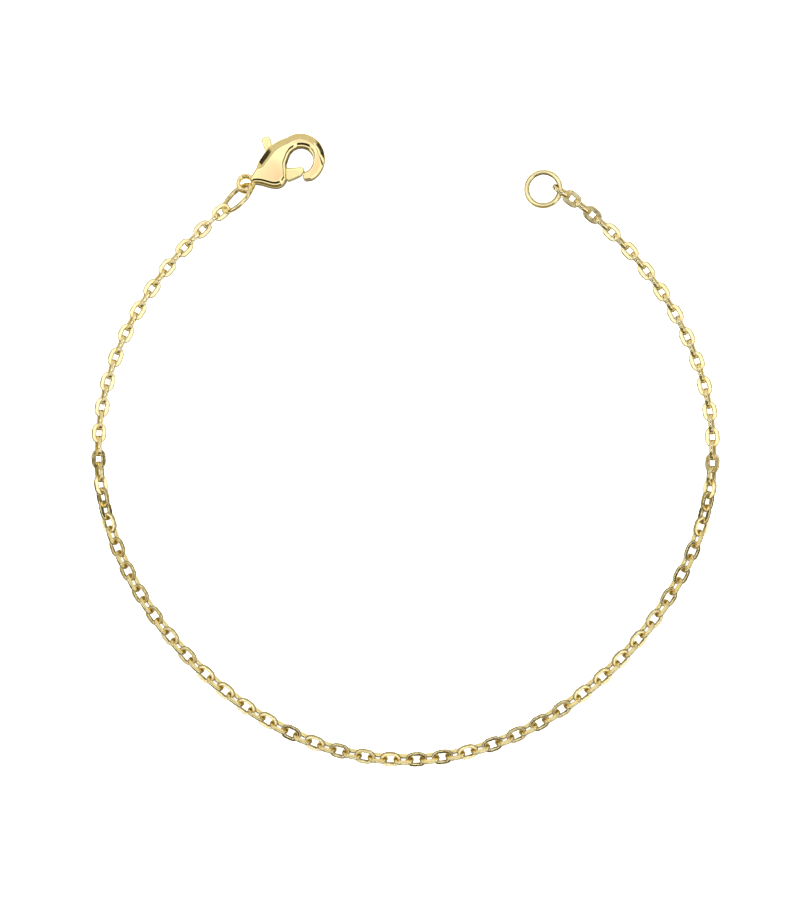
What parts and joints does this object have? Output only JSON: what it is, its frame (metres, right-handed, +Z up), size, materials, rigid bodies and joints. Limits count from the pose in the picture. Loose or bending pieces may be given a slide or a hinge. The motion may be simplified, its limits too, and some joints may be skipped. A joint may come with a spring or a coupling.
{
  "type": "chain bracelet with lobster clasp",
  "caption": "Fine oval cable-chain bracelet lying open in a loop, with a sprung lobster clasp on a jump ring at one end and a plain ring at the other.",
  "frame": {"origin": "the middle of the footprint of the bracelet as it lies open, on the surface that it rests on", "axes": "+Z up from the surface; +Y from the middle of the chain's run towards the clasp and the end ring; +X from the clasp's side towards the end ring's side"},
  "size_m": [0.066, 0.0664, 0.0035],
  "materials": {
    "clasp_gold": "polished yellow gold plate on cast brass",
    "lever_gold": "polished pale yellow gold plate",
    "ring_gold": "polished yellow gold plated round wire",
    "chain_gold": "bright cut yellow gold plated flattened wire"
  },
  "bodies": {
    "root": {"clasp_body": "clasp_gold", "jump_ring": "ring_gold", "chain_clasp_half": "chain_gold", "chain_ring_half": "chain_gold", "end_ring": "ring_gold"},
    "clasp_lever": {"clasp_lever": "lever_gold"}
  },
  "joints": [
    {"name": "lever_pivot", "type": "hinge", "parent": "root", "child": "clasp_lever", "pos_m": [-0.01363, 0.03045, 0.0012], "axis": [0, 0, 1], "range_deg": [0, 25], "stiffness_Nm_per_rad": 0.005, "springref_deg": -20.05}
  ]
}
